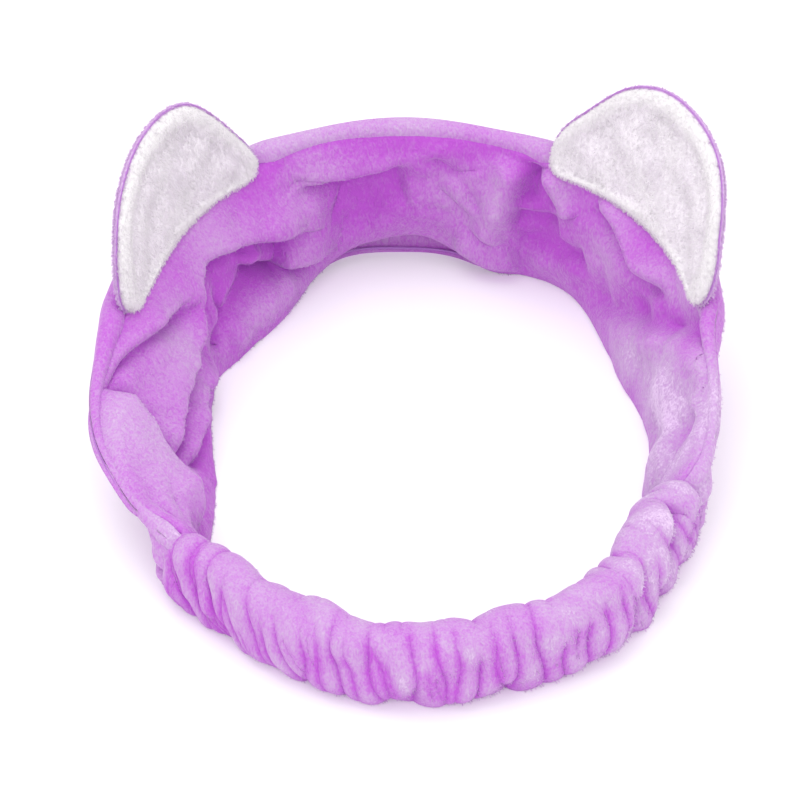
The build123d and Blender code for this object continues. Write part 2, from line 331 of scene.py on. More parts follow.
def fabric(name, points, tone, material, tube=False):
    """A closed layer of fabric from a grid of points on its shown side; the columns of a tube's grid meet."""
    rows, columns, _ = points.shape
    back = points - grid_normals(points, tube) * FLEECE
    count = rows * columns
    number = np.arange(count).reshape(rows, columns)
    if tube:
        edges = [number[0], number[-1][::-1]]
    else:
        edges = [np.concatenate([number[0, :], number[1:, -1], number[-1, -2::-1], number[-2:0:-1, 0]])]
    faces = both_sides(rows, columns, tube) + [hem_faces(edge, count) for edge in edges]
    corners = np.concatenate([points.reshape(-1, 3), back.reshape(-1, 3)])
    made = new_mesh(name, corners, np.concatenate(faces), material)
    pile_on(made, range(count))
    set_tone(made, np.concatenate([tone.ravel(), tone.ravel() - BACK_DEEPER]))
    return made


def placed(bearing, radius, height):
    """Points in space from bearing, radius and height."""
    turn = np.radians(bearing)
    return np.stack([radius * np.sin(turn), radius * np.cos(turn), height], axis=-1)


def cord(path, radius, sides=8):
    """Points and faces of a closed round cord along a line of points."""
    path = np.asarray(path, float)
    ahead = np.gradient(path, axis=0)
    ahead /= np.linalg.norm(ahead, axis=1, keepdims=True)
    side = np.cross(ahead, [0.0, 0.0, 1.0])
    length = np.linalg.norm(side, axis=1, keepdims=True)
    side = np.where(length > 0.05, side / np.maximum(length, 1e-6), [1.0, 0.0, 0.0])
    other = np.cross(side, ahead)
    turn = np.linspace(0, 2 * math.pi, sides, endpoint=False)
    ring = side[:, None] * np.cos(turn)[None, :, None] + other[:, None] * np.sin(turn)[None, :, None]
    points = (path[:, None] + ring * radius).reshape(-1, 3)
    last = (len(path) - 1) * sides
    faces = grid_faces(len(path), sides, wrap_columns=True).tolist()
    faces += [list(range(sides)), [last + k for k in range(sides)][::-1]]
    return points, faces


def cords(name, paths, radius, material):
    """One piece made of a closed round cord along each line of points."""
    points, faces = [], []
    for path in paths:
        more, sides = cord(path, radius)
        start = sum(len(p) for p in points)
        points.append(more)
        faces += [[start + k for k in face] for face in sides]
    made = new_mesh(name, np.concatenate(points), faces, material)
    fix_normals(made)
    return made


def fix_normals(piece):
    """Turns every face outwards."""
    work = bmesh.new()
    work.from_mesh(piece.data)
    bmesh.ops.recalc_face_normals(work, faces=work.faces)
    work.to_mesh(piece.data)
    work.free()


# ---- materials


# The colour sockets of a Mix node, which share their names with the node's other sockets.
MIX_A, MIX_B, MIX_RESULT = 6, 7, 2


def new_material(name):
    """A material, a function that adds a node to it and one that fills its shader's inputs."""
    material = bpy.data.materials.new(name)
    material.use_nodes = True
    tree = material.node_tree

    def fill(node, inputs):
        for key, value in inputs.items():
            if isinstance(value, bpy.types.NodeSocket):
                tree.links.new(value, node.inputs[key])
            else:
                node.inputs[key].default_value = value

    def add(kind, inputs=None, **settings):
        node = tree.nodes.new(kind)
        for key, value in settings.items():
            setattr(node, key, value)
        fill(node, inputs or {})
        return node

    def finish(inputs):
        fill(tree.nodes["Principled BSDF"], inputs)

    return material, add, finish


def tone_colour(add, shades, shift):
    """The stored tone, moved by shift (0.5 leaves it) and looked up in shades from deep to pale."""
    tone = add("ShaderNodeAttribute", attribute_name="tone")
    moved = add("ShaderNodeMath", {0: tone.outputs["Fac"], 1: shift}, operation="ADD")
    centred = add("ShaderNodeMath", {0: moved.outputs[0], 1: 0.5}, operation="SUBTRACT")
    ramp = add("ShaderNodeValToRGB", {"Fac": centred.outputs[0]})
    stops = ramp.color_ramp.elements
    stops[0].position, stops[0].color = 0.0, (*shades[0], 1)
    stops[1].position, stops[1].color = 1.0, (*shades[-1], 1)
    for k, shade in enumerate(shades[1:-1], 1):
        stops.new(k / (len(shades) - 1)).color = (*shade, 1)
    return ramp.outputs["Color"]


def fleece(name, hollow, shades, spread=0.17, scale=1.0):
    """Brushed short-pile fabric: fine tufts that catch the light, and painted shade, the hollow colour, mixed
    in down in the folds.
    """
    material, add, finish = new_material(name)
    where = add("ShaderNodeTexCoord").outputs["Object"]
    lay = add("ShaderNodeMapping", {"Vector": where, "Rotation": (0.5, 0.3, 0.4), "Scale": (1.0, 1.0, 0.45)})
    tufts = add("ShaderNodeTexNoise", {"Vector": lay.outputs[0], "Scale": 1900.0 * scale, "Detail": 2.0})
    strokes = add("ShaderNodeTexNoise", {"Vector": lay.outputs[0], "Scale": 900.0 * scale, "Detail": 3.0,
                                         "Distortion": 0.8})
    fine = add("ShaderNodeMath", {0: tufts.outputs["Fac"], 1: strokes.outputs["Fac"]}, operation="ADD")
    shift = add("ShaderNodeMapRange", {"Value": fine.outputs[0], "From Min": 0.75, "From Max": 1.25,
                                       "To Min": 0.5 - spread, "To Max": 0.5 + spread})
    colour = tone_colour(add, shades, shift.outputs[0])
    # Painted shade: the hollow colour is mixed in where the AO node finds the fabric closed in.
    open_air = add("ShaderNodeAmbientOcclusion", {"Distance": 12 * MM}, samples=6)
    shade = add("ShaderNodeMapRange", {"Value": open_air.outputs["AO"], "From Min": 0.15, "From Max": 0.72})
    colour_with_painted_shade = add("ShaderNodeMix", {"Factor": shade.outputs[0], MIX_A: (*hollow, 1), MIX_B: colour},
                 data_type="RGBA")
    bump = add("ShaderNodeBump", {"Height": fine.outputs[0], "Strength": 0.6, "Distance": 0.6 * MM})
    sheen_tint = [0.5 + 0.5 * c for c in shades[-1]]
    finish({"Base Color": colour_with_painted_shade.outputs[MIX_RESULT], "Normal": bump.outputs["Normal"], "Roughness": 0.95,
            "Specular IOR Level": 0.05, "Sheen Weight": 0.4, "Sheen Roughness": 0.4,
            "Sheen Tint": (*sheen_tint, 1)})
    return material


def pile_material(name, shades):
    """The strands of the pile, deeper at the root than at the tip, each strand a little different."""
    material, add, finish = new_material(name)
    strand = add("ShaderNodeHairInfo")
    each = add("ShaderNodeMapRange", {"Value": strand.outputs["Random"], "To Min": 0.3, "To Max": 0.75})
    up = add("ShaderNodeMapRange", {"Value": strand.outputs["Intercept"], "To Min": -0.15, "To Max": 0.25})
    shift = add("ShaderNodeMath", {0: each.outputs[0], 1: up.outputs[0]}, operation="ADD")
    finish({"Base Color": tone_colour(add, shades, shift.outputs[0]), "Roughness": 0.8,
            "Specular IOR Level": 0.15, "Sheen Weight": 0.3})
    return material


def thread_material(name, colour):
    """Twisted sewing thread."""
    material, add, finish = new_material(name)
    where = add("ShaderNodeTexCoord").outputs["Object"]
    twist = add("ShaderNodeTexWave", {"Vector": where, "Scale": 900.0, "Distortion": 2.0})
    bump = add("ShaderNodeBump", {"Height": twist.outputs["Fac"], "Strength": 0.4, "Distance": 0.2 * MM})
    shadow = [c * 0.8 for c in colour]
    tint = add("ShaderNodeMix", {"Factor": twist.outputs["Fac"], MIX_A: (*shadow, 1), MIX_B: (*colour, 1)},
               data_type="RGBA")
    finish({"Base Color": tint.outputs[MIX_RESULT], "Normal": bump.outputs["Normal"], "Roughness": 0.6})
    return material


PURPLES = [
    (0.43, 0.085, 0.53), (0.45, 0.15, 0.54), (0.48, 0.24, 0.555), (0.50, 0.33, 0.56), (0.67, 0.51, 0.72),
]
WHITES = [(0.68, 0.61, 0.70), (0.75, 0.70, 0.76), (0.79, 0.75, 0.79), (0.71, 0.69, 0.70)]
# The second colour of each fleece is the painted shade mixed into its folds.
PURPLE = fleece("purple_fleece", (0.43, 0.075, 0.54), PURPLES)
WHITE = fleece("white_fleece", (0.72, 0.67, 0.74), WHITES, spread=0.12)
WADDING = fleece("wadding", (0.6, 0.6, 0.6), [(0.7, 0.7, 0.7), (0.9, 0.9, 0.9)], scale=0.5)
PURPLE_PILE = pile_material("purple_pile", PURPLES)
WHITE_PILE = pile_material("white_pile", WHITES)
THREAD = thread_material("thread", (0.42, 0.16, 0.56))
ELASTIC = thread_material("elastic", (0.80, 0.80, 0.78))


def grow_pile(piece, material, tufts, seed, length=1.1, thick=0.08, clump=0.6, lay=(0.0, 0.0, 0.0)):
    """Short strands in small tufts over the shown side of a piece; lay leans them along x, y and z."""
    piece.data.materials.append(material)
    growth = piece.modifiers.new("pile", "PARTICLE_SYSTEM").particle_system
    growth.seed = seed
    growth.vertex_group_density = PILE_GROUP
    how = growth.settings
    how.type = "HAIR"
    how.count = tufts
    how.hair_step = 3
    how.render_step = 3
    how.use_advanced_hair = True
    speed = 0.25 * length * MM
    how.normal_factor = speed
    how.factor_random = 0.45 * speed
    how.object_align_factor = [speed * k for k in lay]
    how.child_type = "INTERPOLATED"
    how.rendered_child_count = 6
    how.child_length = 1.0
    how.child_radius = 0.8 * MM
    how.clump_factor = clump
    how.roughness_1 = 0.1 * MM
    how.roughness_1_size = 1.0
    how.root_radius = 1.0
    how.tip_radius = 0.25
    how.radius_scale = thick * MM
    how.material = len(piece.data.materials)


# ---- the band


BAND_STEPS = 620  # points round the loop in each of the band's layers
LINING_STEPS = 120  # points up the lining
OUTER_STEPS = 110  # points up the outer layer
ROLL_AT = 0.84  # share of the outer layer that is below the roll over the rim
ROLL_TURN = 1.12 * math.pi  # how far round the fabric rolls there
EDGE_INSET = 1.5  # from the sewn lower edge to the middle of the fabric above it


def band_section(low_r, low_z, high_r, high_z):
    """The straight line from lower edge to upper edge: its step, its inward normal and its length."""
    step_r, step_z = high_r - low_r, high_z - low_z
    length = np.hypot(step_r, step_z)
    return step_r, step_z, -step_z / length, step_r / length, length


def near_ends(bearing, reach):
    """1 at either end of the band, falling to 0 within reach degrees of it."""
    return 1 - ease(0, reach, np.minimum(bearing - LEFT_END, RIGHT_END - bearing))


def run_out(bearing):
    """1 at the sides, where the lining wraps out over the rim, 0 under the ears and at the front."""
    return ease(68, 88, bearing) + ease(75, 95, -bearing)


def gather_lines(bearing, share, seed):
    """Small pleats that run into the band from its gathered ends."""
    x, y = unrolled(bearing, share)
    waves = 0.7 * ripples(x, y, 9, seed, 4.0)
    creases = 0.5 * np.abs(ripples(x, y, 11, seed + 1, 5.0))
    return near_ends(bearing, 20) * (waves - creases)


def closed_in(bearing, share, points, facing):
    """The band's points drawn in at its ends to the ring that the sleeve grips.

    Facing is -1 for the lining and 1 for the outer layer; the two meet at the ring's top and bottom.
    """
    draw = near_ends(bearing, 13)
    turn = math.pi * (share - 0.5)
    proud = 1.4 if facing < 0 else 0.2 + 1.2 * np.abs(np.sin(turn))
    past = proud - 2.6 * near_ends(bearing, 5)  # how far the ring stands outside the sleeve's own section
    radius = sleeve_radius(bearing % 360) + facing * (SLEEVE_HALF_DEPTH + past) * np.cos(turn)
    height = SLEEVE_MIDDLE_HEIGHT + (SLEEVE_HALF_HEIGHT + past) * np.sin(turn)
    ring = placed(bearing, radius, height)
    return points + (ring - points) * draw[..., None]


def bulge(share):
    """0 at the lower and upper edges of the fabric and 1 halfway between them."""
    return np.sin(math.pi * np.clip(share, 1e-6, 1 - 1e-6))


def lining_rise(bearing, share):
    """How far the lining stands in from the straight line between its edges, and its folds' push and drag."""
    push, drag = folded(bearing, share, LINING_FOLDS)
    keep = ease(0, 0.06, 1 - share) * ease(0, 0.14, share)
    x, y = unrolled(bearing, share)
    waves = 0.6 * ripples(x, y, 24, 3) + 0.3 * ripples(x, y, 9, 4)
    rise = 3.2 * bulge(share) ** 0.55 + push * keep + waves * bulge(share) ** 0.5
    return rise, push * keep, drag * keep


# Patches of painted light and shade on the lining: bearing, height up the fabric, reach in degrees, reach up
# the fabric, and how much lighter.
LINING_PAINTED_LIGHT = [
    (-8, 0.5, 9, 0.22, -0.3), (8, 0.5, 7, 0.3, 0.12), (19, 0.6, 2.5, 0.3, 0.25), (24, 0.78, 3, 0.18, -0.35),
    (27, 0.52, 7, 0.12, -0.3), (32, 0.82, 3, 0.15, 0.25), (31, 0.33, 8, 0.08, -0.2),
    (-38, 0.5, 12, 0.16, -0.35), (-36, 0.18, 14, 0.12, 0.25), (-50, 0.28, 6, 0.2, -0.2),
    (-84, 0.12, 16, 0.12, -0.25), (-96, 0.8, 16, 0.3, 0.16), (-76, 0.68, 8, 0.14, 0.05),
    (-66, 0.92, 12, 0.1, -0.1), (62, 0.3, 14, 0.22, 0.4), (86, 0.5, 14, 0.6, 0.6), (60, 0.52, 6, 0.08, -0.3),
    (69, 0.68, 6, 0.08, -0.35), (77, 0.85, 5, 0.08, -0.3), (52, 0.7, 8, 0.2, 0.08),
    (94, 0.62, 3.5, 0.16, -0.35), (95, 1.0, 14, 0.12, 0.35), (-105, 1.0, 16, 0.12, 0.15),
    (102, 0.4, 8, 0.5, 0.4), (0, 1.0, 26, 0.03, -0.4), (0, 0.93, 24, 0.06, -0.2),
]


def painted_light_patches(bearing, share, spots):
    """Broad patches of painted light and shade, lighter or deeper."""
    total = np.zeros_like(bearing)
    for at_bearing, at_share, wide, tall, amount in spots:
        total += amount * np.exp(-(((bearing - at_bearing) / wide) ** 2) - ((share - at_share) / tall) ** 2)
    return total


def band_places(steps):
    """Bearing and height up the fabric at each point of a layer of the band."""
    return np.meshgrid(np.linspace(LEFT_END, RIGHT_END, BAND_STEPS), np.linspace(0, 1, steps), indexing="ij")


def lining_grid():
    """The band's inner face, from its sewn lower edge up to the seam line inside the rim, and its tone."""
    b, s = band_places(LINING_STEPS)
    low_r, low_z = lower_radius(b) + EDGE_INSET, REST_GAP + lower_lift(b)
    high_r, high_z = upper_radius(b) + 1.9 * run_out(b), upper_height(b) - 1.2 * run_out(b)
    step_r, step_z, in_r, in_z, length = band_section(low_r, low_z, high_r, high_z)
    out, push, drag = lining_rise(b, s)
    radius = low_r + step_r * s + in_r * out - step_r / length * drag
    height = low_z + step_z * s + in_z * out - step_z / length * drag
    height -= 3.4 * run_out(b) * ease(0.9, 1, s) ** 2
    points = closed_in(b, s, placed(b, radius, height), -1)
    pleats = gather_lines(b, s, 5)
    points += grid_normals(points) * (pleats * bulge(s) ** 0.5)[..., None]
    points[..., 2] = np.maximum(points[..., 2], 0.5)
    x, y = unrolled(b, s)
    # Painted light and shade: raised folds and pleats come out lighter and sunk ones deeper; the ripples are
    # the fabric's own random tone.
    tone = 0.34 + 0.035 * push + 0.1 * pleats + 0.07 * ripples(x, y, 30, 41) + painted_light_patches(b, s, LINING_PAINTED_LIGHT)
    return points, tone


def ear_room(bearing):
    """1 where an ear is sewn in front of the rim, 0 elsewhere."""
    away = np.abs(bearing)
    return ease(EAR_NEAR - 5, EAR_NEAR + 1, away) * (1 - ease(EAR_FAR - 1, EAR_FAR + 5, away))


def outer_grid():
    """The band's outer face, from its lower edge over the rolled rim to the seam inside, and its tone."""
    b, s = band_places(OUTER_STEPS)
    low_r, low_z = lower_radius(b) + EDGE_INSET + 0.12 * lower_lift(b), REST_GAP
    high_r, high_z = upper_radius(b) - 0.3 * run_out(b), upper_height(b) - 3.0 * run_out(b)
    roll = RIM_ROLL * rim_share(b) * (1 - 0.3 * ear_room(b))
    roll_r, roll_z = high_r + (roll * 0.9 + 2.0 * ear_room(b)), high_z + 0.6
    x, y = unrolled(b, s)
    up = np.clip(s / ROLL_AT, 0, 1)
    bow = bulge(up)
    step_r, step_z, in_r, in_z, _ = band_section(low_r, low_z, roll_r + roll, roll_z)
    waves = 0.9 * ripples(x, y, 26, 13) + 0.35 * ripples(x, y, 10, 14)
    loft = (1.2 + 1.8 * rim_share(b)) * bow ** 0.7 + waves * bow ** 0.5
    short = 3.4 - lining_rise(b, up)[0] - loft  # what the lining's hollows still need behind them
    loft += 0.7 * np.log1p(np.exp(short / 0.7)) * bow ** 0.4
    side_r = low_r + step_r * up - in_r * loft
    side_z = low_z + step_z * up - in_z * loft
    turn = np.clip((s - ROLL_AT) / (1 - ROLL_AT), 0, 1) * ROLL_TURN
    over_r = roll_r + roll * np.cos(turn)
    over_z = roll_z + roll * 1.35 * np.sin(turn) - 1.2 * ear_room(b) * ease(0, 1, turn)
    over = s > ROLL_AT
    points = placed(b, np.where(over, over_r, side_r), np.where(over, over_z, side_z))
    points = closed_in(b, s, points, 1)
    points -= grid_normals(points) * (gather_lines(b, s, 15) * bow ** 0.5)[..., None]
    points[..., 2] = np.maximum(points[..., 2], 0.4)
    # Painted light: lighter at both sides and over the rolled rim at the front; the ripples are the fabric's
    # own random tone.
    tone = 0.4 + 0.08 * ripples(x, y, 30, 42) + 0.3 * ease(70, 95, b) + 0.22 * ease(80, 95, -b)
    tone += 0.25 * ease(ROLL_AT - 0.1, ROLL_AT, s) * (1 - ease(45, 75, np.abs(b)))
    return points, tone


def seam_line(first, last, behind):
    """Points along the seam just inside the rim, at a distance behind the lining's edge."""
    b = np.linspace(first, last, 60)
    line = placed(b, upper_radius(b) + behind, upper_height(b) + 0.2 - 3.0 * run_out(b))
    line = closed_in(b, np.ones_like(b), line, -1)
    line[:, 2] -= 1.5 * near_ends(b, 20)
    return line


def lower_line():
    """Points along the seam inside the band's lower edge."""
    b = np.linspace(LEFT_END + 1, RIGHT_END - 1, 220)
    line = placed(b, lower_radius(b) + 2.6, np.full_like(b, 2.2))
    line = closed_in(b, np.zeros_like(b), line, -1)
    line[:, 2] = np.maximum(line[:, 2], 1.6)
    return line


# ---- the sleeve


DEEPEST_GATHER = 3.4


def sleeve_valleys(length, seed):
    """The lines that the sleeve's fabric is drawn in along.

    Each is its place along the sleeve, height up it, slant, half length, depth, width and phase of its waver.
    """
    draw = np.random.default_rng(seed)
    found = []

    def valley(place, middle, slant, half, depth, width):
        lean = 0.35 * float(ease(0.45 * length, 0.8 * length, place))
        return (place, draw.uniform(*middle), lean + draw.uniform(*slant), draw.uniform(*half),
                draw.uniform(*depth), draw.uniform(*width), draw.uniform(0, 6.3))

    # the long gathers, one after another from end to end
    place = 3.0
    while place < length - 2:
        found.append(valley(place, (0.3, 0.6), (-0.15, 0.2), (9, 15), (1.5, 3.0), (0.6, 1.0)))
        place += draw.uniform(3.8, 7.2)
    # short shallow ones anywhere between them
    for _ in range(int(length / 7.0)):
        place = draw.uniform(0, length)
        found.append(valley(place, (0.2, 0.7), (-0.1, 0.2), (4, 7), (0.5, 1.1), (0.4, 0.7)))
    # deep slanting ones at the left end
    for before_end in (9, 15, 22):
        found.append((length - before_end, 0.5, 0.42, 14, 2.8, 0.9, 0.0))
    return found


def gathered(along, rise, length, seed):
    """How far the gathers draw the sleeve in, and the painted shade along each gather's line, at places along
    and up its face.
    """
    total = np.zeros_like(along)
    painted_crease_shade = np.zeros_like(along)
    for place, middle, slant, half, depth, width, phase in sleeve_valleys(length, seed):
        up = rise - middle * 2 * SLEEVE_HALF_HEIGHT
        line = place + slant * up + 0.6 * np.sin(up / 4.0 + phase)
        gap = np.abs(along - line)
        reach = 1 - ease(half * 0.5, half * 1.2, np.abs(up))
        total += depth * reach * (0.75 * np.exp(-gap / width) + 0.25 * np.exp(-gap / (3 * width)))
        # Painted shade: a dark line down the middle of each gather.
        painted_crease_shade = np.maximum(painted_crease_shade, min(1, depth / 1.4) * reach * np.exp(-((gap / 1.4) ** 2)))
    return np.minimum(total, DEEPEST_GATHER), painted_crease_shade


# The twisted puffs where the sleeve leaves the band on the right, as (mm along, mm up the outer face).
TWISTS = [
    dict(path=[(1, 25), (9, 19), (17, 9), (20, 0)], height=2.6, soft=5, sharp=1.8, hollow=2.6,
         fade=(0.05, 0.05)),
    dict(path=[(13, 26), (21, 20), (29, 11), (33, 0)], height=2.2, soft=5, sharp=1.8, hollow=2.4,
         fade=(0.05, 0.05)),
    dict(path=[(33, 25), (40, 18), (44, 8)], height=1.2, soft=5, sharp=2, hollow=1.6),
]


SLEEVE_STEPS = 760  # points along the sleeve
TUBE_STEPS = 128  # points round it
SLEEVE_RADIUS = 82.0  # what the sleeve's length is measured at
SQUARED = 0.9  # below 1 the section's corners fill out


def sleeve_grid():
    """The gathered sleeve's closed tube and its tone; rows run round the loop and columns round the tube."""
    first, last = RIGHT_END - OVERLAP, 360 + LEFT_END + OVERLAP
    b, turn = np.meshgrid(np.linspace(first, last, SLEEVE_STEPS),
                          np.linspace(0, 2 * math.pi, TUBE_STEPS, endpoint=False), indexing="ij")
    along = np.radians(b - first) * SLEEVE_RADIUS
    length = math.radians(last - first) * SLEEVE_RADIUS
    cos, sin = np.cos(turn), np.sin(turn)
    depth = SLEEVE_HALF_DEPTH * np.sign(cos) * np.abs(cos) ** SQUARED
    height = SLEEVE_HALF_HEIGHT * np.sign(sin) * np.abs(sin) ** SQUARED
    rise = SLEEVE_HALF_HEIGHT * (1 + sin)
    # the outer and the inner face have their own gathers, mixed where the tube turns over
    outer_share = ease(-0.35, 0.35, cos)
    drawn_out, crease_shade_out = gathered(along, rise, length, 21)
    drawn_in, crease_shade_in = gathered(along, rise, length, 22)
    drawn = drawn_out * outer_share + drawn_in * (1 - outer_share)
    crease_shade = crease_shade_out * outer_share + crease_shade_in * (1 - outer_share)
    to_end = np.minimum(along, length - along)
    tucked = 1 - ease(0, 7, to_end)
    mouth = 1 - 0.55 * (1 - ease(0, 2.6, to_end))
    round_x, round_y = along + 8 * cos, 16 * sin  # places on the tube that meet after one turn
    swell = 0.5 * ripples(round_x, round_y, 17, 23)
    for twist in TWISTS:
        swell += fold(along, rise, **twist)[0] * ease(-0.5, 0.3, cos)
    puff = 1.2 + swell * (1 - tucked) - drawn * (1 - 0.85 * tucked) - 3.0 * tucked
    way_r, way_z = cos / SLEEVE_HALF_DEPTH, sin / SLEEVE_HALF_HEIGHT
    norm = np.hypot(way_r, way_z)
    radius = sleeve_radius(b) + mouth * (depth + way_r / norm * puff)
    z = SLEEVE_MIDDLE_HEIGHT + mouth * (height + way_z / norm * puff)
    # Painted light and shade: deeper along the gathers' lines, where they draw in and over the top, lighter
    # on the puffs and towards the band's right end; the ripples are the fabric's own random tone.
    tone = 0.7 - 0.05 * drawn - 0.64 * crease_shade + 0.05 * swell - 0.06 * ease(0.6, 1, sin)
    tone += 0.06 * ripples(round_x, round_y, 14, 24) + 0.12 * (1 - ease(30, 70, along))
    return placed(b, radius, np.maximum(z, 0.5)), tone


# ---- the ears


EAR_LEAN = {"right": 19.0, "left": 12.0}  # degrees outwards from upright
EAR_FORWARD = 0.8  # how far in front of the seam line the ear's base sits
EAR_CENTRE_RISE = 15.0
EAR_RIM = 0.9  # how far the purple back shows round the white front
EAR_CORNER = 2.0  # reach of the rounding of the outline's corners
EAR_RINGS = 46  # rings of points from an ear's middle to its edge
EAR_STEPS = 240  # points round each ring
PAD_SHARE = 0.93  # the wadding's size against the outline
# Each ear's edge from the side end of its base over the arch to the front end, as (mm across, mm up).
EAR_OUTLINE = {
    "right": [(33, -2), (35.5, 5), (34.5, 16), (29.5, 27), (20.5, 35.5), (8, 40), (-5, 41), (-14.5, 38.5),
              (-22.5, 33), (-30, 22.5), (-36, 12.5), (-38, 4), (-35.5, -2)],
    "left": [(32, -2), (35, 4), (34.5, 11), (32, 21.5), (25.5, 31), (14.5, 37.5), (2, 39.5), (-8, 38.5),
             (-15.5, 35), (-21.5, 28), (-26, 20), (-30.5, 11), (-33, 4), (-31, -2)],
}


class Ear:
    """Where one ear stands: its seam line, the way up its face and the way out of it, into the loop."""

    def __init__(self, side):
        self.sign = 1 if side == "right" else -1
        self.arch = EAR_OUTLINE[side]
        near, far = self.base(0.0), self.base(1.0)
        self.half = np.linalg.norm(far - near) / 2
        self.chord = (far - near) / np.linalg.norm(far - near)
        middle = self.sign * math.radians((EAR_NEAR + EAR_FAR) / 2)
        out = np.array([self.chord[1], -self.chord[0], 0.0])
        if out @ np.array([math.sin(middle), math.cos(middle), 0]) < 0:
            out = -out
        lean = math.radians(EAR_LEAN[side])
        self.up = out * math.sin(lean) + np.array([0, 0, math.cos(lean)])
        self.inward = -out * math.cos(lean) + np.array([0, 0, math.sin(lean)])

    def base(self, share):
        """A point of the seam line under the ear, from 0 at its front end to 1 at its side end."""
        b = self.sign * (EAR_NEAR + (EAR_FAR - EAR_NEAR) * np.clip(share, 0, 1))
        return placed(b, upper_radius(b), upper_height(b))

    def at(self, across, rise, out):
        """A point from mm across (0 in the middle), mm up the face and mm inwards of it."""
        base = self.base(0.5 + across / (2 * self.half))
        beyond = across - np.clip(across, -self.half, self.half)  # past its ends the base runs straight on
        ahead = (out + EAR_FORWARD)[..., None] * self.inward
        return base + beyond[..., None] * self.chord + rise[..., None] * self.up + ahead

    def outline(self, grow=0.0):
        """The ear's closed outline as mm across and mm up, with rounded corners, grown by grow mm."""
        arch = smooth_path(self.arch, 200)
        base = np.stack([np.linspace(arch[-1, 0], arch[0, 0], 120), np.full(120, arch[0, 1])], axis=1)
        ring = rounded(evenly(np.concatenate([arch, base[1:-1]]), EAR_STEPS), EAR_CORNER)
        ahead = np.roll(ring, -1, axis=0) - np.roll(ring, 1, axis=0)
        outward = np.stack([ahead[:, 1], -ahead[:, 0]], axis=1)
        outward /= np.linalg.norm(outward, axis=1, keepdims=True)
        return ring + outward * grow


def evenly(ring, count):
    """A closed line of points spaced evenly."""
    closed = np.concatenate([ring, ring[:1]])
    run = np.concatenate([[0], np.cumsum(np.linalg.norm(np.diff(closed, axis=0), axis=1))])
    at = np.linspace(0, run[-1], count, endpoint=False)
    return np.stack([np.interp(at, run, closed[:, k]) for k in range(closed.shape[1])], axis=1)


def rounded(ring, reach):
    """A closed line of evenly spaced points with its corners rounded over reach mm."""
    gap = np.linalg.norm(ring[1] - ring[0])
    steps = np.arange(-12, 13)
    weight = np.exp(-0.5 * (steps * gap / reach) ** 2)
    weight /= weight.sum()
    return sum(w * np.roll(ring, -k, axis=0) for k, w in zip(steps, weight))


def ear_rings(ear, grow=0.0, keep=1.0):
    """For rings from the ear's middle to its outline: mm across, mm up and mm in from the edge."""
    ring = np.linspace(0.02, 1, EAR_RINGS) ** 0.8 * keep
    outline = ear.outline(grow) - [0, EAR_CENTRE_RISE]
    flat = ring[:, None, None] * outline[None]
    edge = (1 - ring)[:, None] * np.linalg.norm(outline, axis=1)[None]
    return flat[..., 0], flat[..., 1] + EAR_CENTRE_RISE, edge


def closed_rings(name, front, back, tone, material):
    """A closed piece from two ring grids that share an outline, shown on its front."""
    rows, columns, _ = front.shape
    count = rows * columns
    middles = [front[0].mean(axis=0)], [back[0].mean(axis=0)]
    points = np.concatenate([front.reshape(-1, 3), back.reshape(-1, 3), *middles])
    faces = both_sides(rows, columns, True) + [hem_faces(np.arange(count - columns, count), count)]
    faces = np.concatenate(faces).tolist()
    for k in range(columns):
        n = (k + 1) % columns
        faces.append([2 * count, n, k])
        faces.append([2 * count + 1, count + k, count + n])
    piece = new_mesh(name, points, faces, material)
    outermost = range(2 * count - 3 * columns, 2 * count + 1)  # the back's last rings and the front's middle
    pile_on(piece, [*range(count), *outermost])
    fix_normals(piece)
    tone = tone.ravel()
    set_tone(piece, np.concatenate([tone, tone, tone[:1], tone[:1]]))
    return piece


# A lift is how far a face stands out at a place, from mm in from the ear's edge, mm across and mm up.
def white_lift(edge, x, y):
    """The front panel: a puffy border round a face that dips a little."""
    border = 2.9 * (1 - np.exp(-edge / 1.1))
    return 0.5 + border - 1.2 * ease(3.0, 7.0, edge) + 0.35 * ripples(x, y, 14, 31) * ease(2, 9, edge)


def back_lift(edge, x, y):
    """The back panel: one smooth cushion."""
    return -(0.3 + 3.4 * (1 - np.exp(-edge / 5.0))) + 0.3 * ripples(x, y, 14, 32) * ease(2, 9, edge)


def beneath(lift, ply, gap):
    """A lift that follows another at gap mm, and at ply mm more away from the edge."""
    return lambda edge, x, y: lift(edge, x, y) + ply * (1 - np.exp(-edge / 0.5)) + gap


def white_tone(edge, x, y):
    """The front panel's tone, paler at its border than in its middle: painted light and shade for how light
    falls on the puffy border and into the dip; the ripples are the fabric's own random tone.
    """
    return 0.95 - 0.25 * ease(3.2, 6.5, edge) - 0.05 * ripples(x, y, 14, 51) * ease(3, 7, edge)


def ear_layer(ear, name, shown, under, tone, material, grow=0.0, keep=1.0):
    """A closed piece of an ear between the lifts of its two faces; its tone is a number or goes by place."""
    x, y, edge = ear_rings(ear, grow, keep)
    front, back = [ear.at(x, y, lift(edge, x, y)) for lift in (shown, under)]
    tone = tone(edge, x, y) if callable(tone) else np.full_like(x, tone)
    return closed_rings(name, front, back, tone, material)


def edge_seam(ear, name):
    """The stitching round the arch, from just above the root at one side to the other."""
    across, rise = ear.outline(0.1).T
    arch = rise > 1.0
    first = np.flatnonzero(arch & ~np.roll(arch, 1))[0]
    across, rise = np.roll(across, -first)[: arch.sum()], np.roll(rise, -first)[: arch.sum()]
    return cords(name, [ear.at(across, rise, np.full_like(across, 0.35))], 0.2, THREAD)


# ---- hiding the CAD parts that the pieces take the place of


def on_loop(piece, node):
    """A piece of the loop: the CAD part that it takes the place of is hidden and its placement is baked into
    its mesh.
    """
    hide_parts(node)
    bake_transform(piece)


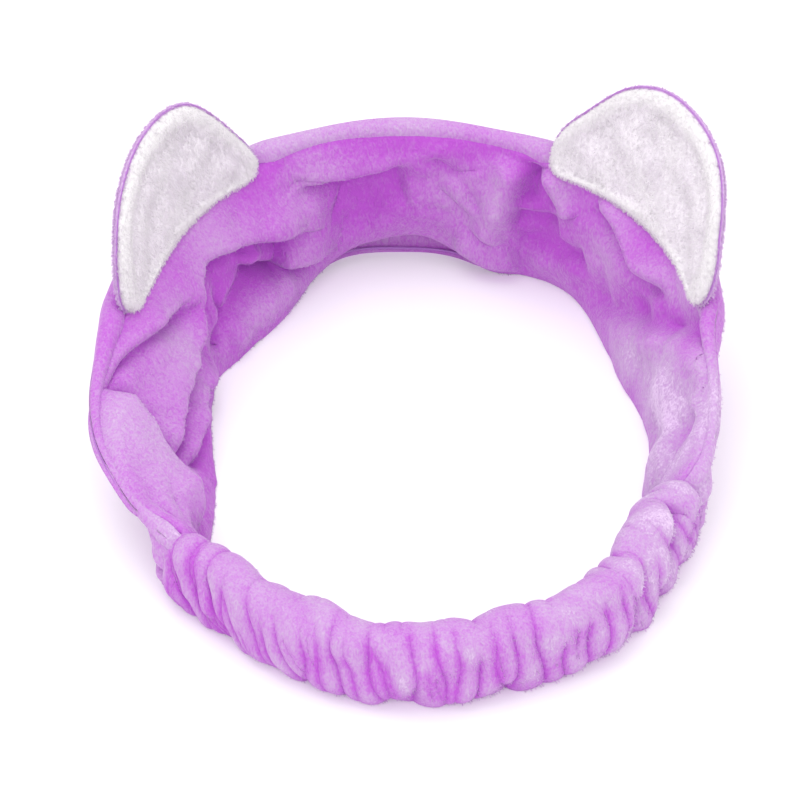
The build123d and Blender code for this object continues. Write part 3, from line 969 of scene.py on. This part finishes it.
def on_ear(piece, ear, side, part):
    """A piece of an ear: the CAD part that it takes the place of is hidden and its placement is baked into
    its mesh.
    """
    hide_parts(side + "_ear_" + part)
    root = ear.base(0.5)
    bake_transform(piece)


def make_band():
    """The two layers of the wide band."""
    points, tone = lining_grid()
    lining = fabric("band_lining_fleece", points[:, ::-1], tone[:, ::-1], PURPLE)
    outer = fabric("band_outer_fleece", *outer_grid(), PURPLE)
    grow_pile(lining, PURPLE_PILE, 20000, 1, lay=(0.5, 0.0, -0.4))
    grow_pile(outer, PURPLE_PILE, 20000, 2, lay=(0.5, 0.0, -0.4))
    on_loop(lining, "band_lining_panel")
    on_loop(outer, "band_outer_panel")


def make_sleeve():
    """The gathered sleeve."""
    sleeve = fabric("gathered_sleeve", *sleeve_grid(), PURPLE, tube=True)
    grow_pile(sleeve, PURPLE_PILE, 15000, 3, length=1.2, thick=0.09, clump=0.8, lay=(0.5, 0.0, -0.6))
    on_loop(sleeve, "elastic_sleeve")


def make_ear(side):
    """One ear and the seam that holds its root on the rim."""
    ear = Ear(side)
    named = side + "_ear_"
    front = ear_layer(ear, named + "front_fleece", white_lift, beneath(white_lift, -1.0, -0.3),
                      white_tone, WHITE, grow=-EAR_RIM / 2)
    back = ear_layer(ear, named + "back_fleece", back_lift, beneath(back_lift, 1.0, 0.5),
                     0.72, PURPLE, grow=EAR_RIM / 2)
    pad = ear_layer(ear, named + "wadding", beneath(white_lift, 0.0, -1.6), beneath(back_lift, 0.0, 1.6),
                    0.4, WADDING, keep=PAD_SHARE)
    edge = edge_seam(ear, named + "edge_stitching")
    grow_pile(front, WHITE_PILE, 4500, 4, length=0.7, thick=0.09, clump=0.3, lay=(0.0, -0.2, -0.4))
    grow_pile(back, PURPLE_PILE, 3600, 5, length=0.8, thick=0.1, clump=0.4, lay=(0.0, 0.0, -0.5))
    on_ear(front, ear, side, "front_panel")
    on_ear(back, ear, side, "back_panel")
    on_ear(pad, ear, side, "pad")
    on_ear(edge, ear, side, "edge_seam")
    root = seam_line(ear.sign * EAR_NEAR, ear.sign * EAR_FAR, 0.5)
    on_loop(cords(named + "base_stitching", [root], THREAD_RADIUS, THREAD), named + "base_seam")


def end_ring(bearing):
    """The ring where the sleeve is sewn to the band's end."""
    turn = np.linspace(0, 2 * math.pi, 72)
    radius = float(sleeve_radius(bearing % 360)) + 4.2 * np.cos(turn)
    height = SLEEVE_MIDDLE_HEIGHT + 10.5 * np.sin(turn)
    return placed(np.full_like(turn, bearing), radius, height)


def make_stitching():
    """The band's seams: three runs inside the rim between the ears, the lower edge and both ends."""
    top_runs = [
        seam_line(LEFT_END + 6, -EAR_FAR, 1.0),
        seam_line(-EAR_NEAR, EAR_NEAR, 1.0),
        seam_line(EAR_FAR, RIGHT_END - 6, 1.0),
    ]
    seams = [
        ("rim_stitching", top_runs, THREAD_RADIUS, "band_top_seam"),
        ("lower_edge_stitching", [lower_line()], FINE_THREAD_RADIUS, "band_bottom_seam"),
        ("right_end_stitching", [end_ring(RIGHT_END)], THREAD_RADIUS, "right_end_seam"),
        ("left_end_stitching", [end_ring(LEFT_END)], THREAD_RADIUS, "left_end_seam"),
    ]
    for name, lines, radius, node in seams:
        on_loop(cords(name, lines, radius, THREAD), node)


def ribbon(name, first, last, half_thick, low, high, material):
    """A flat strip that follows the sleeve's middle."""
    b = np.linspace(first, last, 160)
    corners = [(-half_thick, low), (half_thick, low), (half_thick, high), (-half_thick, high)]
    points = np.stack([placed(b, sleeve_radius(b) + r, np.full_like(b, z)) for r, z in corners], axis=1)
    rows, columns, _ = points.shape
    faces = grid_faces(rows, columns, wrap_columns=True).tolist()
    end = (rows - 1) * columns
    faces += [[0, 1, 2, 3], [end + 3, end + 2, end + 1, end]]
    piece = new_mesh(name, points, faces, material, smooth=False)
    fix_normals(piece)
    return piece


def make_elastic():
    """The flat elastic inside the sleeve, the stitches that hold its ends, and the sleeve's own seam."""
    first, last = RIGHT_END, 360 + LEFT_END
    on_loop(ribbon("woven_elastic", first, last, 0.6, 5, 23, ELASTIC), "elastic_strap")
    for side, start in (("right", first + 2), ("left", last - 4)):
        tack = ribbon(side + "_elastic_stitching", start, start + 2, 1.2, 6.5, 21.5, THREAD)
        on_loop(tack, side + "_elastic_tack")
    b = np.linspace(first + 1, last - 1, 120)
    hem = placed(b, sleeve_radius(b), np.full_like(b, 3.6))
    on_loop(cords("sleeve_stitching", [hem], FINE_THREAD_RADIUS, THREAD), "sleeve_seam")


# ---- stage


PAPER_HALF = 3.0  # metres
LOOK_DOWN = math.radians(47.0)
CAMERA_DISTANCE = 5.0  # metres
CAMERA_AIM = Vector((-2.3 * MM, 29.3 * MM, 0.0))
LAMP_AIM = Vector((0, 0, 30 * MM))
SHOWN_WIDTH = 0.22857  # metres across the picture


def white_paper():
    """The pale surface that the object stands on."""
    size = PAPER_HALF
    mesh = bpy.data.meshes.new("floor")
    corners = [(-size, -size, 0), (size, -size, 0), (size, size, 0), (-size, size, 0)]
    mesh.from_pydata(corners, [], [(0, 1, 2, 3)])
    material, _, finish = new_material("pale_floor")
    finish({"Base Color": (0.82, 0.82, 0.82, 1), "Roughness": 0.9, "Emission Color": (1, 1, 1, 1),
            "Emission Strength": 0.12})
    mesh.materials.append(material)
    ground = bpy.data.objects.new("floor", mesh)
    bpy.context.scene.collection.objects.link(ground)


def white_sky():
    """Even light from all round."""
    world = bpy.data.worlds.new("studio")
    world.use_nodes = True
    background = world.node_tree.nodes["Background"]
    background.inputs["Color"].default_value = (1, 1, 1, 1)
    background.inputs["Strength"].default_value = 1.22
    bpy.context.scene.world = world


def lamp(name, place, size, power):
    """A square light that shines on the middle of the loop."""
    data = bpy.data.lights.new(name, "AREA")
    data.size = size
    data.energy = power
    light = bpy.data.objects.new(name, data)
    light.location = place
    light.rotation_euler = (LAMP_AIM - Vector(place)).to_track_quat("-Z", "Y").to_euler()
    bpy.context.scene.collection.objects.link(light)


def camera():
    """A long lens that looks down into the loop from the elastic's side."""
    lens = bpy.data.cameras.new("camera")
    seen_from = bpy.data.objects.new("camera", lens)
    bpy.context.scene.collection.objects.link(seen_from)
    back = Vector((0, -math.cos(LOOK_DOWN), math.sin(LOOK_DOWN)))
    seen_from.location = CAMERA_AIM + back * CAMERA_DISTANCE
    seen_from.rotation_euler = (-back).to_track_quat("-Z", "Y").to_euler()
    lens.sensor_width = 36.0
    lens.lens = lens.sensor_width * CAMERA_DISTANCE / SHOWN_WIDTH
    lens.clip_start, lens.clip_end = 0.5, 20
    bpy.context.scene.camera = seen_from


make_band()
make_sleeve()
make_ear("right")
make_ear("left")
make_stitching()
make_elastic()

white_paper()
white_sky()
lamp("key", (-0.2, 0.15, 1.2), 0.8, 4.8)
lamp("fill", (0.1, -1.0, 0.8), 0.9, 3.2)
camera()
bpy.context.scene.view_settings.view_transform = "Standard"
